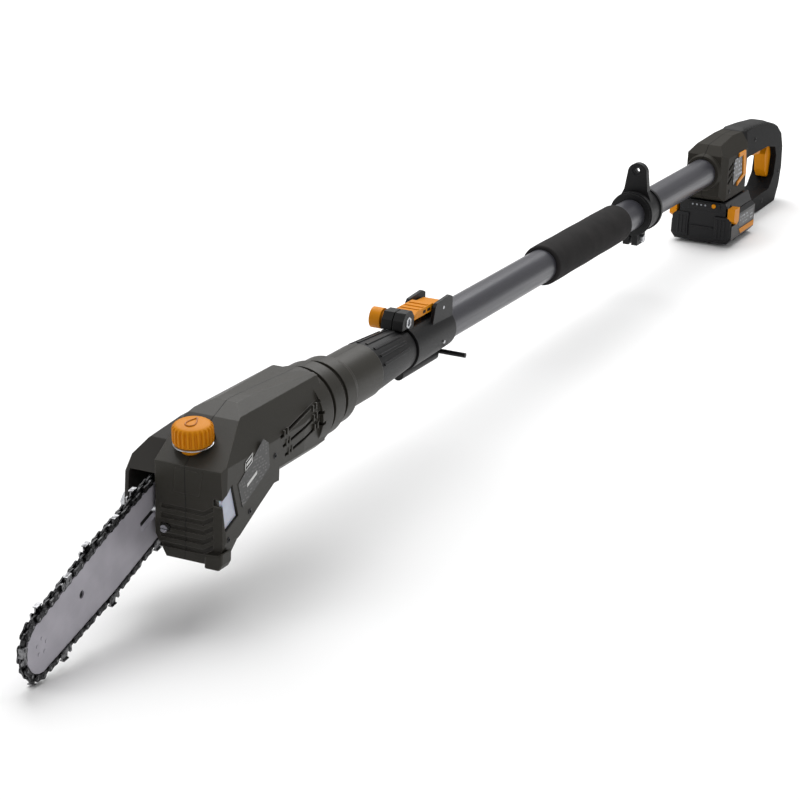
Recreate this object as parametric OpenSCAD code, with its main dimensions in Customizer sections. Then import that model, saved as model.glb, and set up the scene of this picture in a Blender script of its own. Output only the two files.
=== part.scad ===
// Telescoping battery pole saw. Millimetres, +Z up, pole axis along Y.
// +Y points to the rear handle, -Y to the saw, +X to the oil window side.

/* [Pole] */
// Outer diameter of the painted outer tube
tube_d = 32; // [28:1:38]
// Wall thickness of the outer tube
tube_wall = 1.5; // [1:0.1:2.5]
// Rear end of the outer tube, inside the handle
tube_rear_y = 742; // [700:1:780]
// Wall thickness of the inner tube
inner_wall = 1.5; // [1:0.1:2.5]
// How far the head slides out
slide_travel = 400; // [100:10:420]
// Front end of the foam grip
foam_y = 204; // [120:1:260]
// Length of the foam grip
foam_len = 205; // [120:1:240]
// Thickness of the foam
foam_t = 3.8; // [2:0.1:6]

/* [Bar and chain] */
// Width of the guide bar
bar_w = 47; // [40:1:52]
// Length of the bar in front of the sprocket centre
bar_reach = 222; // [180:1:280]
// Thickness of the guide bar
bar_t = 4; // [3:0.1:5]
// Angle of the bar below the pole axis
bar_tilt = 18.5; // [10:0.5:30]
// Thickness of the chain band seen from the side
chain_h = 6; // [5:0.5:9]
// Travel of the chain tensioner
tension_travel = 5; // [2:0.5:8]

/* [Head] */
// Radius of the round neck
neck_r = 23.5; // [21:0.1:26]
// Half width of the head on the window side
head_w = 32; // [28:1:36]
// Wall thickness of every moulded housing
wall = 2.5; // [2:0.1:3.5]
// Diameter of the oil cap
cap_d = 29; // [24:1:34]
// Number of teeth on the motor pinion
pinion_teeth = 8; // [8:1:12]
// Number of teeth on the face gear
gear_teeth = 24; // [20:1:26]

/* [Battery and handle] */
// Width of the battery pack
pack_w = 72; // [64:1:80]
// Length of the battery pack
pack_len = 95; // [85:1:96]
// Half width of the rear loop
loop_w = 14; // [13:0.5:17]

/* [Hidden] */
$fn = 48;
fit = 0.05;
tube_r = tube_d / 2;
bore_r = tube_r - tube_wall;
tube_front = -116;
inner_r = bore_r - 1.6;
sleeve_rear = -126;
sleeve_front = -201;
inner_front = -250;
inner_rear = inner_front + 800;
// drive train
drive_y = -440;
drive_z = -25;
motor_tilt = 12.3;
motor_x = 4;
motor_y0 = 72;
bar_x = -30;
module_t = 1.0;
pinion_r = pinion_teeth * module_t / 2;
gear_r = gear_teeth * module_t / 2;
shaft_r = 4;
motor_shaft_r = 2;
sprocket_r = 12.5;
// head
front_y = -486;
side_x = -25;
// handle
post_y = 817;
dock_z = -33;
pack_y = 710;
pack_z = -82;
rail_w = 52;
// colours
c_shell = [0.20, 0.20, 0.19];
c_black = [0.08, 0.08, 0.09];
c_orange = [0.92, 0.55, 0.10];
c_tube = [0.42, 0.42, 0.46];
c_steel = [0.70, 0.70, 0.72];
c_brass = [0.75, 0.60, 0.30];
c_white = [0.85, 0.85, 0.85];
c_green = [0.10, 0.35, 0.20];

// ---- placing helpers ----

// cylinder along +Y between two stations
module rod_y(y0, y1, r) {
  translate([0, y0, 0]) rotate([-90, 0, 0]) cylinder(h = y1 - y0, r = r);
}

// tapered cylinder along +Y
module cone_y(y0, y1, r0, r1) {
  translate([0, y0, 0]) rotate([-90, 0, 0]) cylinder(h = y1 - y0, r1 = r0, r2 = r1);
}

// cylinder along +X through the point (y, z)
module rod_x(x0, x1, y, z, r) {
  translate([x0, y, z]) rotate([0, 90, 0]) cylinder(h = x1 - x0, r = r);
}

// six sided prism along +X
module hex_x(x0, x1, y, z, r) {
  translate([x0, y, z]) rotate([0, 90, 0]) cylinder(h = x1 - x0, r = r, $fn = 6);
}

// side outline in (y, z), extruded along X
module slab_x(pts, x0, x1) {
  translate([x0, 0, 0]) rotate([90, 0, 90]) linear_extrude(height = x1 - x0) polygon(pts);
}

// cross-section in (x, z), extruded along Y
module slab_y(pts, y0, y1) {
  translate([0, y1, 0]) rotate([90, 0, 0]) linear_extrude(height = y1 - y0) polygon(pts);
}

// plan outline in (x, y), extruded along Z
module slab_z(pts, z0, z1) {
  translate([0, 0, z0]) linear_extrude(height = z1 - z0) polygon(pts);
}

// box between two corners
module block(a, b) {
  translate(a) cube([b[0] - a[0], b[1] - a[1], b[2] - a[2]]);
}

// the bar's own frame: u forward along the bar is -Y, v is up
module bar_frame() {
  translate([0, drive_y, drive_z]) rotate([bar_tilt, 0, 0]) children();
}

// the motor's own frame: +Y to the rear and slightly up
module motor_frame() {
  translate([0, drive_y, drive_z]) rotate([motor_tilt, 0, 0]) children();
}

// ---- pole ----

module outer_tube() {
  color(c_tube) difference() {
    rod_y(tube_front, tube_rear_y, tube_r);
    rod_y(tube_front - 1, tube_rear_y + 1, bore_r);
    // hole that the latch's nose passes through
    translate([0, latch_nose_y, 0]) cylinder(h = 40, r = 4.4);
  }
}

module tube_bushing() {
  color(c_white) difference() {
    rod_y(-84, -52, bore_r);
    rod_y(-85, -51, inner_r + fit);
  }
}

collar_front = -124;
collar_rear = -42;
collar_r = 20.6;
latch_nose_y = -96;
ear_x = 13;
latch_pivot_y = -62;
latch_pivot_z = 24;
pocket_z = 19.6;
boss_z = -24.5;
key_r = 2.2;
key_y = -35;
lug_y = -126;
lug_z = 25;

module front_collar() {
  color(c_black) difference() {
    union() {
      cone_y(collar_front, collar_rear, collar_r, collar_r - 1.7);
      // clamp lugs over the front edge
      slab_x([[-138, 20], [-137, 28], [-132, 34], [-120, 34], [-115, 29], [-115, 12],
        [collar_front, 12], [collar_front, 20]], -10, 10);
      // guard ears behind the latch
      for (side = [-1, 1])
        slab_x([[-86, 8], [-80, 28], [-77, 31], [-50, 32.5], [-44, 30], [collar_rear, 8]],
          side * ear_x - 1.5, side * ear_x + 1.5);
      // boss that holds the key
      translate([0, 0, boss_z]) rod_y(-120, -46, 5);
      block([-3, -120, boss_z], [3, -46, -15]);
    }
    rod_y(collar_front - 1, collar_rear + 1, tube_r);
    translate([0, 0, boss_z]) rod_y(-117, -45, key_r + 0.3);
    // split of the clamp and its bolt
    block([-0.5, -140, 10], [0.5, -114.5, 40]);
    rod_x(-11, 11, lug_y, lug_z, 3.05);
    hex_x(7, 11, lug_y, lug_z, 5.3);
    // pocket for the latch
    block([-10.4, -114.6, pocket_z], [10.4, -43, 45]);
    translate([0, latch_nose_y, 0]) cylinder(h = 40, r = 4.6);
    rod_x(-20, 20, latch_pivot_y, latch_pivot_z, 1.5);
    for (side = [-1, 1]) rod_x(side * 18.5 - 3, side * 18.5 + 3, -70, -4, 1.6);
  }
}

module collar_screw() {
  color(c_steel) for (side = [-1, 1])
    rod_x(side < 0 ? -20.4 : tube_r, side < 0 ? -tube_r : 20.4, -70, -4, 1.5);
}

module latch() {
  color(c_orange) difference() {
    union() {
      // rocker plate, stepped down between the ears
      slab_x([[-113.5, 24], [-113.5, 28], [-107, 30.5], [-76, 30.5], [-72, 28], [-51, 27],
        [-51, 22.6], [-72, 22.6], [-76, 24]], -9.8, 9.8);
      // nose that reaches through collar and tube wall
      translate([0, latch_nose_y, 13.8]) cylinder(h = 12, r = 3);
    }
    rod_x(-20, 20, latch_pivot_y, latch_pivot_z, 1.5 + fit);
  }
}

module latch_pin() {
  color(c_steel) rod_x(-14.5, 14.5, latch_pivot_y, latch_pivot_z, 1.5);
}

module latch_spring() {
  color(c_steel) translate([0, -55, pocket_z]) difference() {
    cylinder(h = 2.9, r = 2.6);
    translate([0, 0, -1]) cylinder(h = 5, r = 1.8);
  }
}

module hex_key() {
  color(c_black) {
    translate([0, 0, boss_z]) rod_y(-112, key_y + key_r, key_r);
    rod_x(0, 26, key_y, boss_z, key_r);
  }
}

module foam_grip() {
  color(c_black) difference() {
    rod_y(foam_y, foam_y + foam_len, tube_r + foam_t);
    rod_y(foam_y - 1, foam_y + foam_len + 1, tube_r);
  }
}

strap_y = 472;
eye_z = 45;
eye_r = 2.4;
module strap_ring() {
  color(c_black) difference() {
    union() {
      rod_y(456, 496, 22);
      rod_y(458, 462, 23.5);
      rod_y(488, 492, 23.5);
      // upright tab
      slab_y([[-20, 8], [-13, 24], [-10.5, 42], [10.5, 42], [13, 24], [20, 8]], strap_y - 4, strap_y + 4);
      translate([0, strap_y - 4, 42]) rotate([-90, 0, 0]) cylinder(h = 8, r = 10.5);
      // lugs below
      block([-8, 462, -34], [-1.5, 486, -14]);
      block([1.5, 462, -34], [8, 486, -14]);
    }
    rod_y(455, 497, tube_r + fit);
    block([-1.5, 455, -40], [1.5, 497, -10]);
    translate([0, strap_y - 5, eye_z]) rotate([-90, 0, 0]) cylinder(h = 10, r = eye_r);
    translate([0, strap_y - 5, eye_z]) rotate([-90, 0, 0]) cylinder(h = 2, r = 5.5);
    rod_x(-9, 9, 474, -28, 2.55);
  }
}

module strap_bolt() {
  color(c_steel) {
    rod_x(-13.5, 11, 474, -28, 2.5);
    hex_x(8, 11.5, 474, -28, 4.4);
  }
}

module strap_nut() {
  color(c_steel) difference() {
    hex_x(-12, -8, 474, -28, 4.4);
    rod_x(-13, -7, 474, -28, 2.5);
  }
}

// ---- head side of the pole ----

module inner_tube() {
  color(c_steel) difference() {
    rod_y(inner_front, inner_rear, inner_r);
    rod_y(inner_front - 1, inner_rear + 1, inner_r - inner_wall);
  }
}

// rear guide that runs in the outer tube
module inner_plug() {
  color(c_white) difference() {
    rod_y(inner_rear - 40, inner_rear - 4, bore_r - fit);
    rod_y(inner_rear - 41, inner_rear, inner_r);
  }
}

module clamp_sleeve() {
  color(c_black) difference() {
    union() {
      cone_y(sleeve_front + 0.3, sleeve_rear, 22.8, 19);
      // flutes along the taper
      for (a = [-160 : 20 : -20]) rotate([0, -a - 90, 0])
        slab_x([[-195, 19], [-195, 23.5], [-141, 20.7], [-141, 15]], -1.2, 1.2);
    }
    rod_y(sleeve_front, sleeve_rear + 1, inner_r);
  }
}

module clamp_bolt() {
  color(c_steel) rod_x(-18, 9.5, lug_y, lug_z, 3);
}

module clamp_nut() {
  color(c_steel) difference() {
    hex_x(7.1, 10.6, lug_y, lug_z, 5.1);
    rod_x(7, 11, lug_y, lug_z, 3.05);
  }
}

module clamp_knob() {
  color(c_orange) difference() {
    union() {
      rod_x(-23, -13, lug_y, lug_z, 9);
      rod_x(-13, -10.4, lug_y, lug_z, 6.5);
    }
    rod_x(-18, -10, lug_y, lug_z, 3);
  }
}

// ---- head housing ----

// outside of the moulded head, both halves
module head_outer() {
  // round neck
  rod_y(-256, sleeve_front, neck_r);
  cone_y(-325, -250, 30.5, 24);
  // stepped ribs
  rod_y(-331, -313, 33.6);
  rod_y(-304, -287, 31.2);
  rod_y(-277, -261, 28.6);
  intersection() {
    // side outline
    slab_x([[-318, -28], [-318, 33], [-425, 38], [-446, 30], [-488, 4], [front_y, -20], [-484, -70],
      [-472, -70], [-464, -54], [-430, -37.5], [-408, -27.5], [-396, -28]], -40, 40);
    // plan, tapered to the neck
    slab_z([[-27, -318], [-28, -345], [side_x, -385], [side_x, -500],
      [head_w - 6, -500], [head_w, -482], [head_w, -360], [29, -318]], -80, 60);
    // section with a ridged top and sloping shoulders
    slab_y([[-10, -80], [-27, -50], [-27, 20], [-20, 32], [-9, 37.5], [9, 37], [20, 31.5], [head_w, 6],
      [head_w, -52], [head_w - 7, -80]], -500, -310);
    // section at the foot of the rear part
    union() {
      slab_y([[-40, -12], [-40, 60], [40, 60], [40, -10], [20, -28.5], [-20, -28.5]], -404, -310);
      slab_x([[-500, -90], [-500, 60], [-400, 60], [-400, -90]], -50, 50);
    }
  }
}

// room inside the head
module head_inner() {
  rod_y(-262, sleeve_front + 1, inner_r);
  cone_y(-325, -262, 27, 20.5);
  intersection() {
    slab_x([[-316, -25], [-316, 30], [-425, 35], [-445, 27.5], [-484, 2], [-483, -20], [-481.5, -66],
      [-474, -66], [-466, -50.5], [-431, -34.5], [-409, -24.5], [-396, -25]], -40, 40);
    slab_z([[-23, -316], [-24, -345], [side_x + wall, -385], [side_x + wall, -500],
      [head_w - 6 - wall, -500], [head_w - wall, -482], [head_w - wall, -360], [25, -316]], -80, 60);
    slab_y([[-8.5, -77], [-24, -49], [-24, 18], [-18, 29], [-8.5, 34.5], [8.5, 34], [18, 28.5],
      [head_w - wall, 4],
      [head_w - wall, -52], [head_w - 9, -77]], -500, -310);
    union() {
      slab_y([[-40, -9], [-40, 60], [40, 60], [40, -7], [17.5, -25.5], [-17.5, -25.5]], -406, -310);
      slab_x([[-500, -90], [-500, 60], [-400, 60], [-400, -90]], -50, 50);
    }
  }
}

// holes and recesses shared by the halves
module head_cuts() {
  // vent slots on the window side
  for (i = [0 : 2])
    slab_x([[-400 + i * 4, 7 - i * 8], [-330 + i * 2, 17 - i * 9], [-330 + i * 2, 14.4 - i * 9],
      [-400 + i * 4, 4.4 - i * 8]], 27, 40);
  // front grooves, turned up at the window side
  for (i = [0 : 4]) slab_y([[-21, -29 - i * 7.5], [15, -29 - i * 7.5], [23, -23.6 - i * 7.5],
    [23, -27.6 - i * 7.5], [15, -32.6 - i * 7.5], [-21, -32.6 - i * 7.5]], -500, front_y + 1.7 + 0.35 * i);
  // seat and neck of the oil filler
  cap_place() translate([0, 0, 2.4]) cylinder(h = 40, r = cap_d / 2 + 1.8);
  cap_place() cylinder(h = 30, r = cap_d / 2 - 4, center = true);
  // oil window seat
  slab_x([[-486.6, -18], [-474.5, -8], [-463.5, -35.5], [-482.6, -43]], head_w - 9, 60);
  // tension screw bore
  translate([-16, -500, -47.5]) rotate([-90, 0, 0]) cylinder(h = 30, r = 3.2);
  // output shaft bore
  rod_x(-40, -10, drive_y, drive_z, shaft_r + 5);
  // room for the gear
  rod_x(gear_face - 5.6, gear_face + 2, drive_y, drive_z, gear_r + 2.2);
  // screw bores
  for (p = head_screw_at) rod_x(head_w - wall - 0.3, head_w + 2, p[0], p[1], 2.4);
  // stud bore
  bar_frame() rod_x(-40, -10, -38, 0, 3.9);
}

module cap_place() {
  translate([-3, -470, 14]) rotate([9, 0, 0]) children();
}

module head_shell_near() {
  color(c_shell) difference() {
    intersection() {
      head_outer();
      block([0, -520, -90], [60, -170, 60]);
    }
    head_inner();
    head_cuts();
  }
}

module head_shell_far() {
  color(c_shell) difference() {
    intersection() {
      head_outer();
      block([-60, -520, -90], [0, -170, 60]);
    }
    head_inner();
    head_cuts();
  }
}

head_screw_at = [[-408, -6], [-446, -38], [-478, -50]];
module head_screws() {
  color(c_steel) for (p = head_screw_at) rod_x(head_w - wall - 0.1, head_w + 0.6, p[0], p[1], 2.4);
}

module sprocket_cover() {
  color(c_shell) difference() {
    intersection() {
      slab_x([[-487, -9.5], [-488, -62], [-476, -73], [-462, -70.5], [-440, -62.5], [-411, -47],
        [-396, -14], [-392, 20], [-404, 28], [-440, 28], [-467, 13]], -50, side_x - 0.1);
      slab_y([[-50, -80], [-50, 1], [-42, 12], [-28.4, 25], [side_x, 25], [side_x, -80]], -500, -380);
    }
    intersection() {
      slab_x([[-520, -120], [-462, -67], [-440, -59], [-414, -44], [-400, -13], [-396, 17], [-405, 24],
        [-439, 24], [-467, 8], [-483, -7.5], [-520, -7.5]], -47, side_x + 1);
      slab_y([[-47, -130], [-47, 0], [-40, 9.5], [-27, 21.5], [-20, 21.5], [-20, -130]], -530, -380);
    }
    // clears the head's shoulder behind the cover
    slab_z([[-28.2, -340], [-28.2, -372], [side_x - 0.05, -386], [side_x + 2, -386],
      [side_x + 2, -340]], -90, 60);
    bar_frame() rod_x(-51, -40, -38, 0, 4.1);
  }
}

module cover_stud() {
  color(c_steel) bar_frame() {
    rod_x(-54, side_x + wall, -38, 0, 3.9);
    rod_x(side_x + wall, -18, -38, 0, 6);
  }
}

module cover_nut() {
  color(c_steel) bar_frame() difference() {
    hex_x(-56, -50, -38, 0, 7.5);
    rod_x(-57, -49, -38, 0, 3.9);
  }
}

// ---- bar and chain ----

nose_r = 20;
rivet_y = -bar_reach + nose_r - 1;
bar_h = bar_w / 2;
tail_u = -8;
slot_h = 4.2;

// outline of the bar in (y, z) of its frame, grown by g
function bar_outline(g) = concat(
  [[tail_u - 14 - g * 0.2, 13 + g], [tail_u - 34, bar_h - 1 + g], [-bar_reach / 2, bar_h + g]],
  [for (a = [75 : -15 : -75])
    [-(bar_reach - nose_r) - (nose_r + g) * cos(a), (nose_r + g) * sin(a)]],
  [[-bar_reach / 2, -bar_h - g], [tail_u - 34, -bar_h + 1 - g], [tail_u - 14 - g * 0.2, -13 - g]]);

// loop of the chain: outer run round the sprocket as well
function loop_outline(g) = concat(
  [[tail_u - 30, bar_h - 1 + g], [-bar_reach / 2, bar_h + g]],
  [for (a = [75 : -15 : -75])
    [-(bar_reach - nose_r) - (nose_r + g) * cos(a), (nose_r + g) * sin(a)]],
  [[-bar_reach / 2, -bar_h - g], [tail_u - 30, -bar_h + 1 - g]],
  [for (a = [-75 : 15 : 75]) [2 + (14 + g) * cos(a), (14 + g) * sin(a)]]);

module guide_bar() {
  color(c_steel) bar_frame() difference() {
    slab_x(bar_outline(0), bar_x - bar_t / 2, bar_x + bar_t / 2);
    slab_x([[-30, slot_h], [-30, -slot_h], [-64, -slot_h], [-64, slot_h]], bar_x - 5, bar_x + 5);
    rod_x(bar_x - 5, bar_x + 5, -148, 3, 3);
    rod_x(bar_x - 5, bar_x + 5, -34, 13, 3.1);
    for (a = [0 : 72 : 359])
      rod_x(bar_x - 5, bar_x + 5, rivet_y + 6 * cos(a), 6 * sin(a), 1.5);
  }
}

module nose_rivets() {
  color(c_steel) bar_frame() for (a = [0 : 72 : 359])
    rod_x(bar_x - bar_t / 2 - 0.4, bar_x + bar_t / 2 + 0.4, rivet_y + 6 * cos(a), 6 * sin(a), 1.5);
}

module chain() {
  color(c_black) bar_frame() difference() {
    slab_x(loop_outline(chain_h), bar_x - 3.2, bar_x + 3.2);
    slab_x(loop_outline(0.3), bar_x - 4, bar_x + 4);
  }
}

module tension_pin() {
  color(c_steel) bar_frame() rod_x(bar_x - bar_t / 2, side_x - 0.4, -34, 13, 3);
}

module tension_screw() {
  color(c_steel) translate([-16, 0, -47.5]) difference() {
    union() {
      rod_y(front_y - 2, front_y + 14, 2.5);
      rod_y(front_y - 3, front_y + 2.5, 2.9);
    }
    block([-4, front_y - 4, -0.5], [4, front_y - 1.5, 0.5]);
  }
}

// ---- drive ----

module motor_can() {
  color(c_steel) motor_frame() translate([motor_x, 0, 0]) difference() {
    rod_y(motor_y0, motor_y0 + 60, 13.5);
    rod_y(motor_y0 + 2, motor_y0 + 58, 12);
    rod_y(motor_y0 - 5, motor_y0 + 65, motor_shaft_r + fit);
  }
}

module motor_rotor() {
  color(c_brass) motor_frame() translate([motor_x, 0, 0]) {
    rod_y(motor_y0 + 6, motor_y0 + 54, 10.5);
    rod_y(gear_r - 3.2, motor_y0 + 62, motor_shaft_r);
  }
}

module pinion() {
  color(c_steel) motor_frame() translate([motor_x, 0, 0]) difference() {
    union() {
      rod_y(gear_r - 3, gear_r + 6, pinion_r - 1);
      for (i = [0 : pinion_teeth - 1]) rotate([0, i * 360 / pinion_teeth, 0])
        slab_y([[-pinion_r - 0.7, -0.4], [-pinion_r - 0.7, 0.4], [-2.5, 0.7], [-2.5, -0.7]],
          gear_r - 2.8, gear_r + 1.8);
    }
    rod_y(0, 40, motor_shaft_r);
  }
}

// teeth stand up in +X from the disc and meet the pinion's underside
gear_face = motor_x - pinion_r - 1.15;
module face_gear() {
  color(c_steel) motor_frame() difference() {
    union() {
      rod_x(gear_face - 5, gear_face - 0.6, 0, 0, gear_r + 1.6);
      for (i = [0 : gear_teeth - 1]) rotate([(i + 0.5) * 360 / gear_teeth, 0, 0])
        block([gear_face - 1, gear_r - 3, -0.42], [gear_face + 0.95, gear_r + 1.5, 0.42]);
    }
    rod_x(-20, 20, 0, 0, shaft_r);
  }
}

module output_shaft() {
  color(c_steel) rod_x(-36, 5, drive_y, drive_z, shaft_r);
}

module shaft_bearings() {
  color(c_steel) difference() {
    union() {
      rod_x(side_x - 1, side_x + 6, drive_y, drive_z, shaft_r + 4.9);
      rod_x(1, 4, drive_y, drive_z, shaft_r + 2.6);
    }
    rod_x(-40, 10, drive_y, drive_z, shaft_r + fit);
  }
}

module sprocket() {
  color(c_steel) bar_frame() difference() {
    union() {
      rod_x(bar_x - 2, bar_x + 2, 0, 0, 9.5);
      for (i = [0 : 5]) rotate([i * 60, 0, 0])
        slab_x([[-3, 0], [-1.6, sprocket_r], [1.6, sprocket_r], [3, 0]], bar_x - 1.5, bar_x + 1.5);
    }
    rod_x(-40, -20, 0, 0, shaft_r);
  }
}

// ---- oil ----

module oil_tank() {
  color(c_white) difference() {
    slab_x([[-480, -14], [-479, -57], [-474, -58], [-466, -47], [-449, -40.5], [-449, 4], [-462, 0]],
      7, head_w - 4.6);
    slab_x([[-478, -16], [-477, -54], [-474, -55], [-465, -44], [-451, -38], [-451, 1], [-462, -3]],
      9, head_w - 6.6);
    slab_x([[-500, -16], [-475, -4], [-460, -37], [-485, -46]], head_w - 5.5, head_w);
  }
}

module oil_window() {
  color(c_white) slab_x([[-485.6, -18.5], [-474.5, -9.2], [-464.6, -35.5], [-482, -41.8]],
    head_w - 4.6, head_w - 1.8);
}

module oil_cap() {
  color(c_orange) cap_place() difference() {
    union() {
      translate([0, 0, 3]) cylinder(h = 15, r = cap_d / 2);
      for (a = [0 : 15 : 359]) rotate([0, 0, a])
        translate([cap_d / 2 - 0.3, 0, 3]) cylinder(h = 13, r = 1);
      translate([0, 0, -6]) cylinder(h = 12, r = cap_d / 2 - 4.4);
    }
    translate([0, 0, -7]) cylinder(h = 18, r = cap_d / 2 - 6.5);
  }
}

module oil_pump() {
  color(c_steel) difference() {
    block([-21, -468, -45.4], [-4, -457, -35]);
    rod_x(-22, -1, -462.5, -40, 3);
  }
}

module rating_plate() {
  color(c_black) slab_x([[-466, -11], [-428, 13], [-420, 8], [-417, -12], [-458, -31]],
    head_w, head_w + 0.4);
}

// ---- rear handle ----

module handle_outer() {
  // collar round the tube's end
  cone_y(694, 702, 19.5, 21.5);
  intersection() {
    slab_x([[700, -26], [700, 20], [712, 30], [765, 33.5], [800, 32], [850, 29], [905, 24],
      [938, 16], [960, 3], [970, -15], [973, -40], [968, -62], [955, -80], [900, -81], [860, -79],
      [830, -71], [808, -54], [797.5, dock_z], [712, dock_z]], -30, 30);
    slab_z([[-20, 700], [-24, 716], [-24, 788], [-loop_w, 812], [-loop_w, 980],
      [loop_w, 980], [loop_w, 812], [24, 788], [24, 716], [20, 700]], -95, 45);
    slab_y([[-24, -95], [-24, 16], [-11, 34], [11, 34], [24, 16], [24, -95]], 690, 990);
  }
}

module hand_opening() {
  slab_x([[802, -6], [post_y, -42], [838, -62], [925, -60], [942, -46], [946, -22], [938, -10],
    [905, -4], [830, -3]], -40, 40);
}

module handle_inner() {
  // socket of the tube
  rod_y(690, tube_rear_y, tube_r);
  // room in front of the post
  block([-20, tube_rear_y, dock_z + wall], [20, 794, 12]);
  block([-9, tube_rear_y, 10], [9, 794, 28]);
  // battery contacts pass the dock
  block([-16, 722, dock_z - 1], [16, 790, dock_z + wall + 1]);
  // channel to the switch in the top of the loop
  block([-8, 793, 8], [8, 905, 20]);
  block([-9, 900, 0], [9, 929, 13.5]);
  rod_x(-12, 12, trigger_y, trigger_z, 1.5);
}

// slots for the trigger, lock-off and screws
module handle_cuts() {
  hand_opening();
  block([-7, 914, -50], [7, 960, -3]);
  block([-5, 878, -14], [5, 908, 10]);
  // vents
  for (i = [0 : 2]) slab_x([[719, 4 - i * 8], [735, 10 - i * 8], [735, 6 - i * 8], [719, 0 - i * 8]], 18, 30);
}

module handle_near() {
  color(c_shell) difference() {
    intersection() {
      handle_outer();
      block([0, 690, -100], [40, 990, 60]);
    }
    handle_inner();
    handle_cuts();
  }
}

module handle_far() {
  color(c_shell) difference() {
    intersection() {
      handle_outer();
      block([-40, 690, -100], [0, 990, 60]);
    }
    handle_inner();
    handle_cuts();
  }
}

module handle_screws() {
  color(c_steel) for (p = [[728, -24], [850, 14], [900, -70], [962, -45]])
    rod_x(p[0] < 840 ? 24 : loop_w, p[0] < 840 ? 24.6 : loop_w + 0.6, p[0], p[1], 2.2);
}

module grip_rubber() {
  color(c_black) slab_x([[800, 32.05], [850, 29.05], [905, 24.05], [938, 16.05], [960, 3.05],
    [962, 5], [940, 18.6], [906, 26.8], [850, 31.6], [800, 34]], -9, 9);
}

module side_panel() {
  color(c_black) slab_x([[738, 11], [765, 11], [770, -10.5], [738, -19]], 24, 24.6);
}

module trim_clip() {
  color(c_orange) slab_x([[752, 16], [776, 16], [784, -13], [752, -22], [752, -17.5], [773, -11.5],
    [768, 11.5], [752, 11.5]], 24, 25.6);
}

trigger_y = 944;
trigger_z = -13;
module trigger() {
  color(c_orange) difference() {
    slab_x([[939, -8], [949, -8], [950.5, -16], [949, -46], [936, -48], [926, -38], [922, -18],
      [928, -10]], -6.5, 6.5);
    rod_x(-8, 8, trigger_y, trigger_z, 1.5 + fit);
  }
}

module trigger_pin() {
  color(c_steel) rod_x(-12, 12, trigger_y, trigger_z, 1.5);
}

module lock_off() {
  color(c_orange) slab_x([[880, -12], [906, -14], [906, 3], [880, 4]], -4.5, 4.5);
}

module switch_block() {
  color(c_black) block([-7, 910, 2], [7, 928, 12]);
}

module control_board() {
  color(c_green) block([-17, 750, -20], [17, 790, -18]);
}

module handle_lead() {
  color(c_black) {
    block([-2, 792, 12], [2, 905, 15]);
  }
}

// ---- battery ----

// pockets of the release buttons
module release_pockets() {
  for (inner = [-pack_w / 2 - 1, pack_w / 2 - 8.5])
    block([inner, pack_y - 4, -60.5], [inner + 9.5, pack_y + 17, -38.5]);
}

module battery_case() {
  color(c_black) difference() {
    slab_y([[-pack_w / 2, -76], [-pack_w / 2 + 5, pack_z], [pack_w / 2 - 5, pack_z], [pack_w / 2, -76],
      [pack_w / 2, -50], [pack_w / 2 - 5, -46], [-pack_w / 2 + 5, -46], [-pack_w / 2, -50]],
      pack_y, pack_y + 86);
    block([-pack_w / 2 + wall + 2, pack_y + wall, pack_z + wall], [pack_w / 2 - wall - 2, pack_y + 83, -45]);
    release_pockets();
  }
}

module battery_lid() {
  color(c_black) difference() {
    slab_y([[-pack_w / 2 + 5, -46], [-rail_w / 2, -35 ], [rail_w / 2, -35],
      [pack_w / 2 - 5, -46]], pack_y, pack_y + 86);
    release_pockets();
    translate([13, 0, -39.5]) rod_y(pack_y - 1, pack_y + 3, 2.8);
  }
}

module battery_cells() {
  color(c_green) for (i = [-1.5 : 1 : 1.5]) translate([i * 15.2, 0, -64]) rod_y(pack_y + 6, pack_y + 71, 7.4);
}

module gauge_panel() {
  color(c_black) difference() {
    slab_y([[-18, -43], [-17, -36.4], [20, -36.4], [21, -43]], pack_y - 1, pack_y);
    translate([13, 0, -39.5]) rod_y(pack_y - 2, pack_y + 1, 2.8);
  }
}

module gauge_button() {
  color(c_orange) translate([13, 0, -39.5]) rod_y(pack_y - 1.8, pack_y + 1.5, 2.4);
}

// button outline on the side of the pack
release_pts = [[pack_y - 2, -40], [pack_y + 16, -40], [pack_y + 16, -56], [pack_y + 9, -59],
  [pack_y - 2, -54]];

module release_near() {
  color(c_orange) slab_x(release_pts, pack_w / 2 - 5.5, pack_w / 2 + 2.8);
}

module release_far() {
  color(c_orange) slab_x(release_pts, -pack_w / 2 - 2.8, -pack_w / 2 + 5.5);
}

outer_tube();
tube_bushing();
front_collar();
collar_screw();
latch();
latch_pin();
latch_spring();
hex_key();
foam_grip();
strap_ring();
strap_bolt();
strap_nut();
inner_tube();
inner_plug();
clamp_sleeve();
clamp_bolt();
clamp_knob();
clamp_nut();
head_shell_near();
head_shell_far();
head_screws();
sprocket_cover();
cover_stud();
cover_nut();
guide_bar();
chain();
nose_rivets();
tension_screw();
tension_pin();
motor_can();
motor_rotor();
pinion();
face_gear();
output_shaft();
shaft_bearings();
sprocket();
oil_tank();
oil_window();
oil_cap();
oil_pump();
rating_plate();
handle_near();
handle_far();
handle_screws();
grip_rubber();
side_panel();
trim_clip();
trigger();
trigger_pin();
lock_off();
switch_block();
control_board();
handle_lead();
battery_case();
battery_lid();
battery_cells();
gauge_panel();
gauge_button();
release_near();
release_far();
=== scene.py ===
import math

import bpy
import numpy as np
from mathutils import Matrix, Vector


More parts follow.
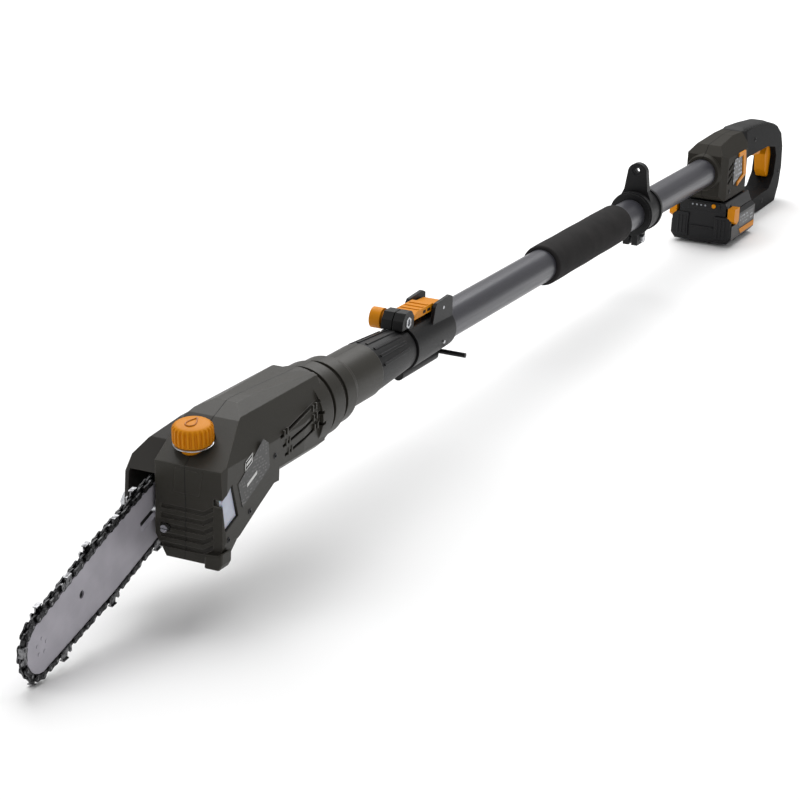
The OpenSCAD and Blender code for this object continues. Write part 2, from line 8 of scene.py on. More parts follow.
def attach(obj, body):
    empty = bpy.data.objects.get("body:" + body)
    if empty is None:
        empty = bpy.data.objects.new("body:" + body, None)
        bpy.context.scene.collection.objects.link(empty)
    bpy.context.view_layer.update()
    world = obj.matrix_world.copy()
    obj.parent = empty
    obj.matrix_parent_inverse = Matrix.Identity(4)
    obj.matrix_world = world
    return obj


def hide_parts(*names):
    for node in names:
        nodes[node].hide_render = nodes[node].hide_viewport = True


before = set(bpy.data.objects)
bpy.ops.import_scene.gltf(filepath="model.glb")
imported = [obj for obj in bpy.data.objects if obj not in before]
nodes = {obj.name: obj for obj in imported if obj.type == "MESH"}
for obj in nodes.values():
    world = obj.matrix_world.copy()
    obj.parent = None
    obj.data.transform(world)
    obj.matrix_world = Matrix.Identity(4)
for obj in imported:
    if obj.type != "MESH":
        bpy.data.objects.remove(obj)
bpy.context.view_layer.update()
mm = 0.001


# ---- Floor, light and camera ----
# A plain pale studio: one matt sheet that the bar's tip and the handle's foot touch,
# a large soft light overhead, one from the front left and a weak one from the right.

def linear(hex_colour):
    """sRGB hex to linear: c/12.92 below 0.04045, otherwise ((c+0.055)/1.055)^2.4."""
    value = [int(hex_colour[i:i + 2], 16) / 255 for i in (1, 3, 5)]
    return [c / 12.92 if c <= 0.04045 else ((c + 0.055) / 1.055) ** 2.4 for c in value] + [1.0]


def add(mat, kind, links=None, **settings):
    """Adds one shader node: sets its properties, then each input to a value or to another socket."""
    made = mat.node_tree.nodes.new(kind)
    for name, value in settings.items():
        setattr(made, name, value)
    for name, value in (links or {}).items():
        if isinstance(value, bpy.types.NodeSocket):
            mat.node_tree.links.new(value, made.inputs[name])
        else:
            made.inputs[name].default_value = value
    return made


def new_material(name):
    """An empty material with an output, and its Principled shader returned with it."""
    mat = bpy.data.materials.new(name)
    mat.use_nodes = True
    mat.node_tree.nodes.clear()
    shader = add(mat, "ShaderNodeBsdfPrincipled")
    add(mat, "ShaderNodeOutputMaterial", {"Surface": shader.outputs[0]})
    return mat, shader


def paint(shader, **inputs):
    """Sets or links the Principled shader's own sockets, with _ for a space in the name."""
    for name, value in inputs.items():
        socket = shader.inputs[name.replace("_", " ")]
        if isinstance(value, bpy.types.NodeSocket):
            shader.id_data.links.new(value, socket)
        else:
            socket.default_value = value


floor_front = Vector((0, -0.632, -0.1172))
floor_rear = Vector((0, 0.955, -0.0803))
floor_slope = math.atan2(floor_rear.z - floor_front.z, floor_rear.y - floor_front.y)
floor_mesh = bpy.data.meshes.new("floor")
reach = 30
corner = [(x, y * math.cos(floor_slope), y * math.sin(floor_slope)) for x, y in
          [(-reach, -reach), (reach, -reach), (reach, reach), (-reach, reach)]]
floor_mesh.from_pydata([tuple(floor_front + Vector(c)) for c in corner], [], [(0, 1, 2, 3)])
floor = bpy.data.objects.new("floor", floor_mesh)
bpy.context.scene.collection.objects.link(floor)
# matt white paper: even and without gloss
paper, paper_shader = new_material("matt white paper")
paint(paper_shader, Base_Color=linear("#f9f9f9"), Roughness=0.95, Specular_IOR_Level=0.1)
floor_mesh.materials.append(paper)

scene = bpy.context.scene
scene.view_settings.view_transform = "Standard"
scene.world = bpy.data.worlds.new("pale room")
scene.world.use_nodes = True
room = scene.world.node_tree.nodes["Background"]
room.inputs["Color"].default_value = linear("#ffffff")
room.inputs["Strength"].default_value = 0.42


def softbox(name, place, target, width, height, power):
    """A rectangular light at place that faces target."""
    data = bpy.data.lights.new(name, "AREA")
    data.shape, data.size, data.size_y, data.energy = "RECTANGLE", width, height, power
    light = bpy.data.objects.new(name, data)
    light.location = place
    light.rotation_euler = (Vector(target) - Vector(place)).to_track_quat("-Z", "Y").to_euler()
    scene.collection.objects.link(light)


softbox("overhead", (-0.7, 1.3, 2.5), (0, 0.1, 0), 3.2, 3.2, 112)
softbox("front_left", (-2.0, -2.2, 1.7), (0, -0.3, 0), 1.6, 1.6, 15)
softbox("right", (2.6, -0.8, 1.0), (0, 0, 0), 1.4, 1.4, 3)

lens = bpy.data.cameras.new("camera")
lens.lens, lens.sensor_width = 112.5, 36
lens.clip_start, lens.clip_end = 0.05, 200
camera = bpy.data.objects.new("camera", lens)
camera.matrix_world = Matrix((
    (0.9061, -0.1706, 0.3871, 0.8297),
    (0.4203, 0.2604, -0.8692, -1.9761),
    (0.0475, 0.9503, 0.3077, 0.6107),
    (0, 0, 0, 1)))
scene.collection.objects.link(camera)
scene.camera = camera


# ---- Outer and inner tube ----
# A drawn aluminium tube, 32 mm across, sprayed with a satin grey metallic paint. The bare
# inner tube slides in it and carries the head.

def shown(object_names, mat):
    """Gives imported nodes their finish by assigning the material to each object's own slot."""
    for name in object_names:
        ob = nodes[name]
        if not ob.material_slots:
            ob.data.materials.append(mat)
        for held in ob.material_slots:
            held.link = "OBJECT"
            held.material = mat


def object_coords(mat):
    return add(mat, "ShaderNodeTexCoord").outputs["Object"]


def speckle(mat, size_mm, detail=2.0):
    """Noise whose grains are about size_mm across, as a value from 0 to 1."""
    return add(mat, "ShaderNodeTexNoise", {"Vector": object_coords(mat), "Scale": 1 / (size_mm * mm),
                                           "Detail": detail}).outputs["Fac"]


def between(mat, value, low, high, at_low, at_high):
    """Maps value linearly from low..high to at_low..at_high, and clamps it."""
    return add(mat, "ShaderNodeMapRange", {"Value": value, "From Min": low, "From Max": high,
                                           "To Min": at_low, "To Max": at_high}).outputs["Result"]


def two_tone(mat, share, first, second):
    """The first colour where share is 0 and the second where it is 1."""
    return add(mat, "ShaderNodeMix", {"Factor": share, 6: first, 7: second}, data_type="RGBA").outputs[2]


def bumped(mat, height, depth_mm, onto=None):
    """A normal raised by height, whose full step is depth_mm."""
    links = {"Height": height, "Distance": depth_mm * mm, "Strength": 1.0}
    if onto is not None:
        links["Normal"] = onto
    return add(mat, "ShaderNodeBump", links).outputs["Normal"]


# satin metallic paint: fine flakes at 0.6 mm, drawn at 1 mm so they show, and long soft streaks
tube_paint, shader = new_material("satin metallic paint")
flake = speckle(tube_paint, 1.0, 3)
streak_place = add(tube_paint, "ShaderNodeMapping", {"Vector": object_coords(tube_paint),
                                                     "Scale": (1.0, 0.03, 1.0)}).outputs["Vector"]
streak = add(tube_paint, "ShaderNodeTexNoise", {"Vector": streak_place, "Scale": 260.0}).outputs["Fac"]
paint(shader, Base_Color=two_tone(tube_paint, between(tube_paint, flake, 0.35, 0.65, 0, 1),
                                  linear("#3a3a40"), linear("#434349")),
      Metallic=0.35, Roughness=between(tube_paint, streak, 0.3, 0.7, 0.30, 0.40),
      Normal=bumped(tube_paint, flake, 0.012), Coat_Weight=0.12, Coat_Roughness=0.25)
shown(["outer_tube"], tube_paint)

# drawn aluminium: fine lines along the draw
drawn_aluminium, shader = new_material("drawn aluminium")
lines = add(drawn_aluminium, "ShaderNodeTexNoise", {
    "Vector": add(drawn_aluminium, "ShaderNodeMapping", {"Vector": object_coords(drawn_aluminium),
                                                         "Scale": (1, 0.01, 1)}).outputs["Vector"],
    "Scale": 900.0}).outputs["Fac"]
paint(shader, Base_Color=linear("#c4c5c9"), Metallic=1.0,
      Roughness=between(drawn_aluminium, lines, 0.3, 0.7, 0.28, 0.42),
      Normal=bumped(drawn_aluminium, lines, 0.01))
shown(["inner_tube", "motor_can"], drawn_aluminium)


# ---- Moulded housings: saw head, sprocket cover and rear handle ----
# Glass filled nylon in a warm charcoal, moulded in two halves that meet on the tool's middle,
# with a spark eroded texture and softly rounded, slightly rubbed edges.

def moulded(name, base, worn, grain_mm=0.8, grain_depth=0.03, rough=0.5, edge_mm=1.0, seam=False, gloss=0.22,
             dark_beyond=None):
    """Moulded plastic: fine grain, slow tone changes, rounded edges that are rubbed paler."""
    mat, shader = new_material(name)
    grain = speckle(mat, grain_mm, 2)
    slow = speckle(mat, 60, 2)
    soft = add(mat, "ShaderNodeBevel", {"Radius": edge_mm * mm}, samples=6).outputs["Normal"]
    flat = add(mat, "ShaderNodeNewGeometry").outputs["Normal"]
    turned = add(mat, "ShaderNodeVectorMath", {0: soft, 1: flat}, operation="DOT_PRODUCT").outputs["Value"]
    rubbed = between(mat, turned, 0.97, 0.80, 0.0, 0.6)
    colour = two_tone(mat, between(mat, slow, 0.3, 0.7, 0, 1), linear(base),
                      [c * 1.12 for c in linear(base)[:3]] + [1])
    place = add(mat, "ShaderNodeSeparateXYZ", {"Vector": object_coords(mat)}).outputs
    if dark_beyond:
        past = between(mat, place["Y"], (dark_beyond - 1) * mm, (dark_beyond + 1) * mm, 0, 1)
        colour = two_tone(mat, past, colour, linear("#161617"))
    colour = two_tone(mat, rubbed, colour, linear(worn))
    if seam:
        off = add(mat, "ShaderNodeMath", {0: place["X"]}, operation="ABSOLUTE").outputs[0]
        open_line = between(mat, off, 0.15 * mm, 0.5 * mm, 1, 0)
        colour = two_tone(mat, open_line, colour, linear("#0b0b0a"))
    paint(shader, Base_Color=colour, Roughness=between(mat, grain, 0.3, 0.7, rough - 0.05, rough + 0.07),
          Normal=bumped(mat, grain, grain_depth, soft), IOR=1.52, Specular_IOR_Level=gloss)
    return mat


# grain of 0.3 mm is drawn at 0.8 mm so that it shows
head_nylon = moulded("glass filled nylon charcoal", "#2f2d28", "#6a6761", seam=True, rough=0.42, edge_mm=0.9)
shown(["head_shell_near", "head_shell_far"], head_nylon)
# the handle's shells are coloured darker beyond y = 797 mm, over the loop, than on their front part
handle_nylon = moulded("glass filled nylon, darker loop", "#302e2a", "#5a5752", seam=True, rough=0.6,
                       edge_mm=0.9, gloss=0.06, dark_beyond=797)
shown(["handle_near", "handle_far"], handle_nylon)
cover_nylon = moulded("glass filled nylon cover", "#2b2926", "#5f5c57", rough=0.44, edge_mm=1.2)
shown(["sprocket_cover"], cover_nylon)
black_nylon = moulded("black nylon", "#131314", "#3c3c3e", rough=0.45, edge_mm=0.7)
shown(["front_collar", "strap_ring", "clamp_sleeve", "switch_block", "gauge_panel", "hex_key"], black_nylon)
pack_plastic = moulded("black ABS", "#121214", "#38383c", rough=0.36, edge_mm=0.9)
shown(["battery_case", "battery_lid"], pack_plastic)
orange_plastic = moulded("orange ABS", "#cc8006", "#dc941c", grain_depth=0.015, rough=0.42, edge_mm=0.8,
                         gloss=0.12)
shown(["latch", "clamp_knob", "trim_clip", "trigger", "lock_off", "gauge_button", "release_near",
       "release_far"], orange_plastic)
natural_nylon = moulded("natural nylon", "#d9d6cc", "#efece4", rough=0.45, edge_mm=0.4)
shown(["tube_bushing", "inner_plug", "oil_tank"], natural_nylon)


def mesh_piece(name, points, faces, body, mat, smooth=None, standing_for=()):
    """Puts computed points (n, 3) in metres and faces into a new mesh that rides on a body."""
    data = bpy.data.meshes.new(name)
    data.from_pydata(np.asarray(points, float).reshape(-1, 3).tolist(), [], [list(f) for f in faces])
    data.update()
    if smooth is not None:
        data.shade_smooth()
        data.set_sharp_from_angle(angle=math.radians(smooth))
    data.materials.append(mat)
    ob = bpy.data.objects.new(name, data)
    scene.collection.objects.link(ob)
    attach(ob, body)
    if standing_for:
        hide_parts(*standing_for)
    return ob


def grid_faces(rows, columns, wrap_rows=False, wrap_columns=False):
    """Quads of a grid of rows by columns, closed round either way where asked."""
    index = np.arange(rows * columns).reshape(rows, columns)
    if wrap_rows:
        index = np.vstack([index, index[:1]])
    if wrap_columns:
        index = np.hstack([index, index[:, :1]])
    return np.stack([index[:-1, :-1], index[:-1, 1:], index[1:, 1:], index[1:, :-1]], -1).reshape(-1, 4)


def tilted(points, degrees, place):
    """Turns points about X by degrees, then moves them to place in mm, and gives metres."""
    a = math.radians(degrees)
    x, y, z = np.moveaxis(np.asarray(points, float), -1, 0)
    turned = np.stack([x, y * math.cos(a) - z * math.sin(a), y * math.sin(a) + z * math.cos(a)], -1)
    return (turned + np.array(place)) * mm


def prisms(outline, places, thickness, out_axis):
    """Extrudes one outline (n, 2) at many places: returns points and faces of closed prisms.

    places is (k, 3, 3): for each copy its origin, and the two directions that the outline's
    first and second numbers run along. out_axis is the extrusion's direction, and the prism
    goes from 0 to thickness along it. Point = origin + a*first + b*second + t*out_axis.
    """
    outline, places = np.asarray(outline, float), np.asarray(places, float)
    n, k = len(outline), len(places)
    origin, first, second = (places[:, None, d] for d in range(3))
    ring = origin + outline[None, :, :1] * first + outline[None, :, 1:] * second
    out = np.broadcast_to(np.asarray(out_axis, float), (k, 3))[:, None]
    points = np.concatenate([ring, ring + out * thickness], 1)
    side = np.arange(n)
    base = np.arange(k)[:, None] * 2 * n
    walls = np.stack([side, (side + 1) % n, (side + 1) % n + n, side + n], -1)
    walls = (base[:, :, None] + walls).reshape(-1, 4)
    lids = np.concatenate([base + side[::-1], base + n + side])
    if np.dot(np.cross(places[0, 1], places[0, 2]), out[0, 0]) <= 0:
        walls, lids = walls[:, ::-1], lids[:, ::-1]
    faces = lids.tolist() + walls.tolist()
    return points.reshape(-1, 3), faces


def flat_slab(name, outline, place, first, second, out, thickness, body, mat, bevel=0.0):
    """One prism from an outline in mm; when bevel is given, a Bevel modifier rounds its thin edge."""
    signed = np.asarray(outline, float)
    area = np.sum(signed[:, 0] * np.roll(signed[:, 1], -1) - np.roll(signed[:, 0], -1) * signed[:, 1])
    if area < 0:
        signed = signed[::-1]
    points, faces = prisms(signed, [[place, first, second]], thickness, out)
    ob = mesh_piece(name, points * mm, faces, body, mat)
    if bevel:
        edge = ob.modifiers.new("edge", "BEVEL")
        edge.width, edge.segments, edge.limit_method = bevel * mm, 2, "ANGLE"
    return ob


X, Y, Z = np.eye(3)


# ---- Front of the head: raised panel, bumper foot and vent frame ----
# The nose of the moulding carries a shallow raised rectangle over its five grooves, and a foot
# below the oil window that the saw stands on. The side vents have paired bars across them.
lean = np.array([0, -2, 24]) / math.hypot(2, 24)
face_out = np.cross(X, lean)
flat_slab("nose_panel", [[-10.5, -21.5], [11.5, -22], [15, -2.5], [-8, -1.5]], (0, -487.4, 3.6), X, lean,
          -face_out if face_out[1] > 0 else face_out, 1.0, "head", head_nylon, 0.5)
flat_slab("bumper_foot", [[19, -60], [30, -59], [33.5, -57], [33.5, -66], [31, -71], [19, -71]],
          (0, -490, 0), X, Z, Y, 15, "head", head_nylon, 1.2)

bar_places = np.array([[(30.9, y, 6.4 - 8.6 * row + 0.15 * (y + 400)), Y, Z] for row in range(3)
                       for y in (-394 + 4 * row, -389 + 4 * row, -347 + 2 * row, -342 + 2 * row)], float)
points, faces = prisms([[-0.8, -2.6], [0.8, -2.6], [0.8, 2.6], [-0.8, 2.6]], bar_places, 1.7, X)
mesh_piece("vent_bars", points * mm, faces, "head", head_nylon)


# ---- Oil cap ----
# A screw cap moulded in orange ABS, with ribs all round for the fingers, a crowned top and a
# raised oil drop on it, over a plated ring.

def cap_surface(turns, steps):
    """Revolved profile whose radius has 24 soft ribs: r = profile + 0.85*tanh(3 cos 24a)*window."""
    radius = np.array([0.01, 5, 9.5, 12.2, 13.3, 14.1, 14.5, 14.6, 14.7, 14.7, 14.6, 14.2, 11, 10.1, 10.1,
                       8, 8, 0.01])
    height = np.array([18.6, 18.5, 18.2, 17.7, 17.1, 16.1, 14.8, 12, 9, 6, 3.8, 3.0, 3.0, 2.6, -6, -6, 8, 8])
    along = np.interp(np.linspace(0, len(radius) - 1, steps), np.arange(len(radius)), np.arange(len(radius)))
    r = np.interp(along, np.arange(len(radius)), radius)
    z = np.interp(along, np.arange(len(height)), height)
    a = np.linspace(0, 2 * np.pi, turns, endpoint=False)
    window = np.clip((z - 3.2) / 1.2, 0, 1) * np.clip((17.3 - z) / 1.8, 0, 1) * (r > 12.5)
    rib = 0.85 * np.tanh(3 * np.cos(24 * a))
    full = r[:, None] + rib[None] * window[:, None]
    return np.stack([full * np.cos(a), full * np.sin(a), np.broadcast_to(z[:, None], full.shape)], -1)


cap_tilt, cap_place = 9, (-3, -470, 14)
cap_grid = cap_surface(288, 69)
mesh_piece("screw_cap", tilted(cap_grid, cap_tilt, cap_place),
           grid_faces(69, 288, wrap_columns=True)[:, ::-1], "cap", orange_plastic, 35,
           ["oil_cap"])


def carried(path, profile):
    """A profile (m, 2) carried round a closed path in the XY plane: point = path + side*p0 + Z*p1."""
    path = np.asarray(path, float)
    ahead = np.roll(path, -1, 0) - np.roll(path, 1, 0)
    ahead /= np.linalg.norm(ahead, axis=1)[:, None]
    side = np.stack([ahead[:, 1], -ahead[:, 0], np.zeros(len(path))], -1)
    profile = np.asarray(profile, float)
    points = path[:, None] + side[:, None] * profile[None, :, :1] + Z * profile[None, :, 1:]
    return points, grid_faces(len(path), len(profile), True, True)


# the drop's flanks are polished in the mould, so it reads a shade deeper than the cap
emblem_plastic = moulded("orange ABS, polished", "#a86204", "#cf8420", grain_depth=0.01, rough=0.3,
                         edge_mm=0.1)
t = np.linspace(0, 2 * np.pi, 72, endpoint=False)
drop = np.stack([5.2 * np.sin(t) * np.sin(t / 2) ** 1.4, 0.5 + 7.0 * np.cos(t), np.full(72, 18.2)], -1)
ridge_angle = np.linspace(0, 2 * np.pi, 10, endpoint=False)
points, faces = carried(drop, np.stack([0.7 * np.cos(ridge_angle), 1.1 * np.sin(ridge_angle)], -1))
mesh_piece("cap_drop", tilted(points, cap_tilt, cap_place), faces[:, ::-1], "cap", emblem_plastic, 60)

a = np.linspace(0, 2 * np.pi, 96, endpoint=False)
ring_profile = np.array([[14.9, 1.4], [15.4, 1.8], [15.4, 2.4], [14.9, 2.8], [10.8, 2.8], [10.8, 1.4]])
ring = np.stack([ring_profile[:, None, 0] * np.cos(a), ring_profile[:, None, 0] * np.sin(a),
                 np.broadcast_to(ring_profile[:, None, 1], (6, 96))], -1)


# ---- Metal small parts ----
# Zinc plated bolts and pins, and housing screws in black oxide with six lobed recesses.

# zinc plating: bright, slightly blue, with fine wiping marks
zinc, shader = new_material("bright zinc plate")
marks = speckle(zinc, 1.5, 4)
paint(shader, Base_Color=two_tone(zinc, between(zinc, marks, 0.35, 0.65, 0, 1), linear("#c3c4c6"),
                                  linear("#a9abb0")),
      Metallic=1.0, Roughness=between(zinc, marks, 0.3, 0.7, 0.22, 0.38), Normal=bumped(zinc, marks, 0.01))
shown(["collar_screw", "strap_bolt", "strap_nut", "latch_pin", "latch_spring", "clamp_bolt", "clamp_nut",
       "head_screws", "cover_stud", "cover_nut", "tension_screw", "tension_pin", "handle_screws",
       "trigger_pin", "output_shaft", "shaft_bearings", "oil_pump"], zinc)
mesh_piece("filler_ring", tilted(ring, cap_tilt, cap_place), grid_faces(6, 96, True, True), "head", zinc, 40)


# black oxide: a dark, slightly mottled skin on the housing screws
screw_steel, shader = new_material("black oxide screw steel")
paint(shader, Base_Color=two_tone(screw_steel, speckle(screw_steel, 0.7, 2), linear("#1d1d1e"),
                                  linear("#343436")),
      Metallic=0.6, Roughness=0.4)


def screw_heads(name, spots, out, radius, body, standing_for):
    """Domes of rings r = radius*share at height z; a recess has share = 0.5*(1 + 0.16 cos 6a)."""
    sides = 36
    turn = np.linspace(0, 2 * np.pi, sides, endpoint=False)
    lobes = 0.5 * (1 + 0.16 * np.cos(6 * turn))
    rings = [(lobes * 0.1, -0.9), (lobes, -0.9), (lobes, 0.32), (lobes + 0.12, 0.42),
             (np.full(sides, 0.85), 0.3), (np.full(sides, 1.0), 0.0), (np.full(sides, 1.0), -1.0)]
    across = np.cross(out, Z)
    dome = np.concatenate([(radius * share * np.cos(turn))[:, None] * across
                           + (radius * share * np.sin(turn))[:, None] * Z + z * out for share, z in rings])
    points = dome + np.asarray(spots, float)[:, None]
    start = np.arange(len(spots))[:, None] * len(dome)
    walls = (start[:, :, None] + grid_faces(len(rings), sides, wrap_columns=True)).reshape(-1, 4)
    floors = start + np.arange(sides)[::-1]
    mesh_piece(name, points * mm, walls.tolist() + floors.tolist(), body, screw_steel, 40,
               standing_for)


head_w, loop_w = 32, 14
screw_heads("head_screw_heads", [(head_w + 0.2, -408, -6), (head_w + 0.2, -446, -38),
                                 (head_w + 0.2, -478, -50)], X, 2.4, "head", ["head_screws"])
screw_heads("handle_screw_heads", [(24.3, 728, -24), (loop_w + 0.3, 850, 14), (loop_w + 0.3, 900, -70),
                                   (loop_w + 0.3, 962, -45)], X, 2.4, "pole", ["handle_screws"])

# raised ridges moulded across the latch's plate, and dark patches of painted shade for the slots along its
# visible side
for k in range(3):
    flat_slab("latch_ridge_%d" % k, [[-9, 0], [9, 0], [8.4, 1.1], [-8.4, 1.1]], (0, -104 + 9 * k, 30.2),
              X, Z, Y, 3.2, "latch", orange_plastic, 0.4)
# painted shade: a near black for thin patches that stand in for the shade inside slots
painted_slot_shade = moulded("painted shade in slots", "#141008", "#2a2010", rough=0.6, edge_mm=0.1)
for k in range(4):
    flat_slab("latch_slot_%d" % k, [[-96 + 9 * k, 25.6], [-90.5 + 9 * k, 25.6], [-90.5 + 9 * k, 28.2],
                                    [-96 + 9 * k, 28.2]],
              (9.7, 0, 0), Y, Z, X, 0.25, "latch", painted_slot_shade, 0.0)

# enamelled copper wire: warm metal with the windings' turns
copper, shader = new_material("enamelled copper wire")
turns = add(copper, "ShaderNodeTexWave", {"Vector": object_coords(copper), "Scale": 600.0, "Distortion": 1.0},
            bands_direction="Y").outputs["Fac"]
paint(shader, Base_Color=linear("#b0643a"), Metallic=0.9, Roughness=0.35, Normal=bumped(copper, turns, 0.2))
shown(["motor_rotor"], copper)


# ---- Guide bar ----
# Rolled alloy steel plate, ground flat and given a satin lilac grey finish, with a slot and an
# oil hole at its tail, a lightening hole, rivets round its nose wheel and faint etched marks.
bar_steel, shader = new_material("satin ground bar steel")
bar_coords = object_coords(bar_steel)
tilt = math.radians(18.5)
along_bar = add(bar_steel, "ShaderNodeMapping", {"Vector": bar_coords,
                                                 "Rotation": (-tilt, 0, 0)}).outputs["Vector"]
ground = add(bar_steel, "ShaderNodeTexNoise", {
    "Vector": add(bar_steel, "ShaderNodeMapping", {"Vector": along_bar,
                                                   "Scale": (1, 0.05, 1)}).outputs["Vector"],
    "Scale": 1100.0, "Detail": 3.0}).outputs["Fac"]
smear = speckle(bar_steel, 25, 3)
tone = two_tone(bar_steel, between(bar_steel, smear, 0.35, 0.65, 0, 1), linear("#b3b0b8"), linear("#a6a3ab"))
paint(shader, Base_Color=tone, Metallic=0.25, Roughness=between(bar_steel, ground, 0.3, 0.7, 0.36, 0.5),
      Normal=bumped(bar_steel, ground, 0.02))
shown(["guide_bar", "nose_rivets"], bar_steel)


# ---- Saw chain ----
# Blackened steel: drive links between pairs of riveted straps, with a cutter on every fourth
# pair, left and right in turn. The cutters' edges are ground and plated.
drive_y, drive_z, bar_x = -440, -25, -30
bar_half, bar_reach, nose_r = 23.5, 222, 20
pitch = 8.1


def chain_path(count, lift):
    """Places, tangents and normals (in bar's u along, v up) at count equal steps of the loop.

    The loop is the bar's edge moved out by lift: two shallow sides, a half round at the nose
    and a half round of 14 mm at the sprocket, resampled by arc length.
    """
    nose = np.radians(np.arange(75, -76, -5))
    tail = np.radians(np.arange(-75, 76, 10))
    loop = np.vstack([
        [[-38, bar_half - 1 + lift], [-bar_reach / 2, bar_half + lift]],
        np.stack([-(bar_reach - nose_r) - (nose_r + lift) * np.cos(nose), (nose_r + lift) * np.sin(nose)],
                 -1),
        [[-bar_reach / 2, -bar_half - lift], [-38, -bar_half + 1 - lift]],
        np.stack([2 + (14 + lift) * np.cos(tail), (14 + lift) * np.sin(tail)], -1)])
    closed = np.vstack([loop, loop[:1]])
    length = np.concatenate([[0], np.cumsum(np.linalg.norm(np.diff(closed, axis=0), axis=1))])
    at = np.arange(count) / count * length[-1]

    def place(s):
        s = np.mod(s, length[-1])
        return np.stack([np.interp(s, length, closed[:, 0]), np.interp(s, length, closed[:, 1])], -1)

    ahead = place(at + 3) - place(at - 3)
    ahead /= np.linalg.norm(ahead, axis=1)[:, None]
    out = np.stack([ahead[:, 1], -ahead[:, 0]], -1)
    return place(at), ahead, out, length[-1]


def bar_to_frame(uv, x):
    """Bar's (u, v) and an x to the tool's frame in mm: turned by the bar's tilt about its drive."""
    u, v = uv[..., 0], uv[..., 1]
    return np.stack([np.full(u.shape, float(x)), drive_y + u * math.cos(tilt) - v * math.sin(tilt),
                     drive_z + u * math.sin(tilt) + v * math.cos(tilt)], -1)


def bar_direction(uv):
    return bar_to_frame(uv, 0) - bar_to_frame(np.zeros_like(uv), 0)


total = chain_path(8, 2.6)[3]
count = int(round(total / pitch / 8)) * 8
centre, ahead, outward, total = chain_path(count, 2.6)
outward = np.where(np.sum(outward * (centre - np.array([-110, 0])), 1, keepdims=True) < 0, -outward, outward)
step = total / count


def links(name, which, outline, x0, thickness, mat, standing_for=()):
    """Prisms of one outline (along, out) at the chosen steps of the loop, from x0 by thickness."""
    places = np.stack([bar_to_frame(centre[which], x0), bar_direction(ahead[which]),
                       bar_direction(outward[which])], 1)
    points, faces = prisms(outline, places, thickness, X)
    return mesh_piece(name, points * mm, faces, "bar", mat, standing_for=standing_for)


# blackened and oiled steel: dark, with paler spots in its colour that are partly rubbed steel and partly
# painted glints
chain_black, shader = new_material("blackened oiled steel")
# painted glints and rubbed steel share one noise: where it is high the colour is paler and rougher
glint_and_rub_spots = speckle(chain_black, 2.2, 4)
paint(shader, Base_Color=two_tone(chain_black, between(chain_black, glint_and_rub_spots, 0.45, 0.7, 0, 1), linear("#1c1c1d"),
                                  linear("#5a5a5c")),
      Metallic=0.8, Roughness=between(chain_black, glint_and_rub_spots, 0.3, 0.7, 0.25, 0.5),
      Normal=bumped(chain_black, glint_and_rub_spots, 0.15))
shown(["sprocket", "face_gear", "pinion"], chain_black)
# hard chrome on the cutters: bright and a little smoky
cutter_chrome, shader = new_material("hard chromed cutter")
smoke = speckle(cutter_chrome, 3, 3)
paint(shader, Base_Color=two_tone(cutter_chrome, between(cutter_chrome, smoke, 0.4, 0.65, 0, 1),
                                  linear("#8c8c8e"), linear("#3b3b3d")),
      Metallic=1.0, Roughness=0.28, Normal=bumped(cutter_chrome, smoke, 0.05))

every = np.arange(count)
angle = np.linspace(0, np.pi, 6)
half_link = step / 2
strap_shape = np.vstack([
    np.stack([half_link + 2.6 * np.sin(angle), 2.6 * -np.cos(angle)], -1), [[0, 1.9]],
    np.stack([-half_link - 2.6 * np.sin(angle), 2.6 * np.cos(angle)], -1), [[0, -1.9]]])
drive_shape = np.vstack([
    np.stack([half_link + 2.9 * np.sin(angle), 2.9 * -np.cos(angle)], -1), [[1.5, 3.6], [-1.5, 3.6]],
    np.stack([-half_link - 2.9 * np.sin(angle), 2.9 * np.cos(angle)], -1), [[0, -2.9]]])
pairs = every[every % 2 == 1]
left, right = every[every % 8 == 3], every[every % 8 == 7]
links("drive_links", every[every % 2 == 0], drive_shape, bar_x - 0.7, 1.4, chain_black, ["chain"])
links("straps_left", pairs, strap_shape, bar_x - 2.9, 1.3, chain_black)
links("straps_right", pairs, strap_shape, bar_x + 1.6, 1.3, chain_black)
cutter_side = [[-6.4, -1.5], [6.4, -1.5], [6.6, 1.2], [6.2, 4.4], [4.2, 4.6], [2.6, 2.2], [0.8, 2.0],
               [-0.4, 5.9], [-6.3, 5.0], [-6.9, 1.5]]
cutter_top = [[0.0, 5.3], [0.0, 6.2], [-6.4, 5.3], [-6.4, 4.4]]
links("cutter_sides_left", left, cutter_side, bar_x - 3.0, 1.1, cutter_chrome)
links("cutter_tops_left", left, cutter_top, bar_x - 4.0, 3.6, cutter_chrome)
links("cutter_sides_right", right, cutter_side, bar_x + 1.9, 1.1, cutter_chrome)
links("cutter_tops_right", right, cutter_top, bar_x + 0.4, 3.6, cutter_chrome)
rivet_centres = np.concatenate([centre[pairs] - ahead[pairs] * half_link,
                                centre[pairs] + ahead[pairs] * half_link])
rivet_ring = np.linspace(0, 2 * np.pi, 8, endpoint=False)
places = np.stack([bar_to_frame(rivet_centres, bar_x - 3.3), np.broadcast_to(Y, (len(rivet_centres), 3)),
                   np.broadcast_to(Z, (len(rivet_centres), 3))], 1)
points, faces = prisms(np.stack([1.2 * np.cos(rivet_ring), 1.2 * np.sin(rivet_ring)], -1), places, 6.6, X)
mesh_piece("chain_rivets", points * mm, faces, "bar", cutter_chrome)


# ---- Oil window ----
# A translucent strip moulded in pale polyethylene with a dark frame round it, so that the oil
# level shows as a soft shade.
window_plastic, shader = new_material("translucent polyethylene")
haze = speckle(window_plastic, 6, 2)
paint(shader, Base_Color=two_tone(window_plastic, haze, linear("#b4b8c8"), linear("#c4c8d6")), Roughness=0.3,
      IOR=1.5, Subsurface_Weight=0.2, Subsurface_Scale=0.004)
shown(["oil_window"], window_plastic)
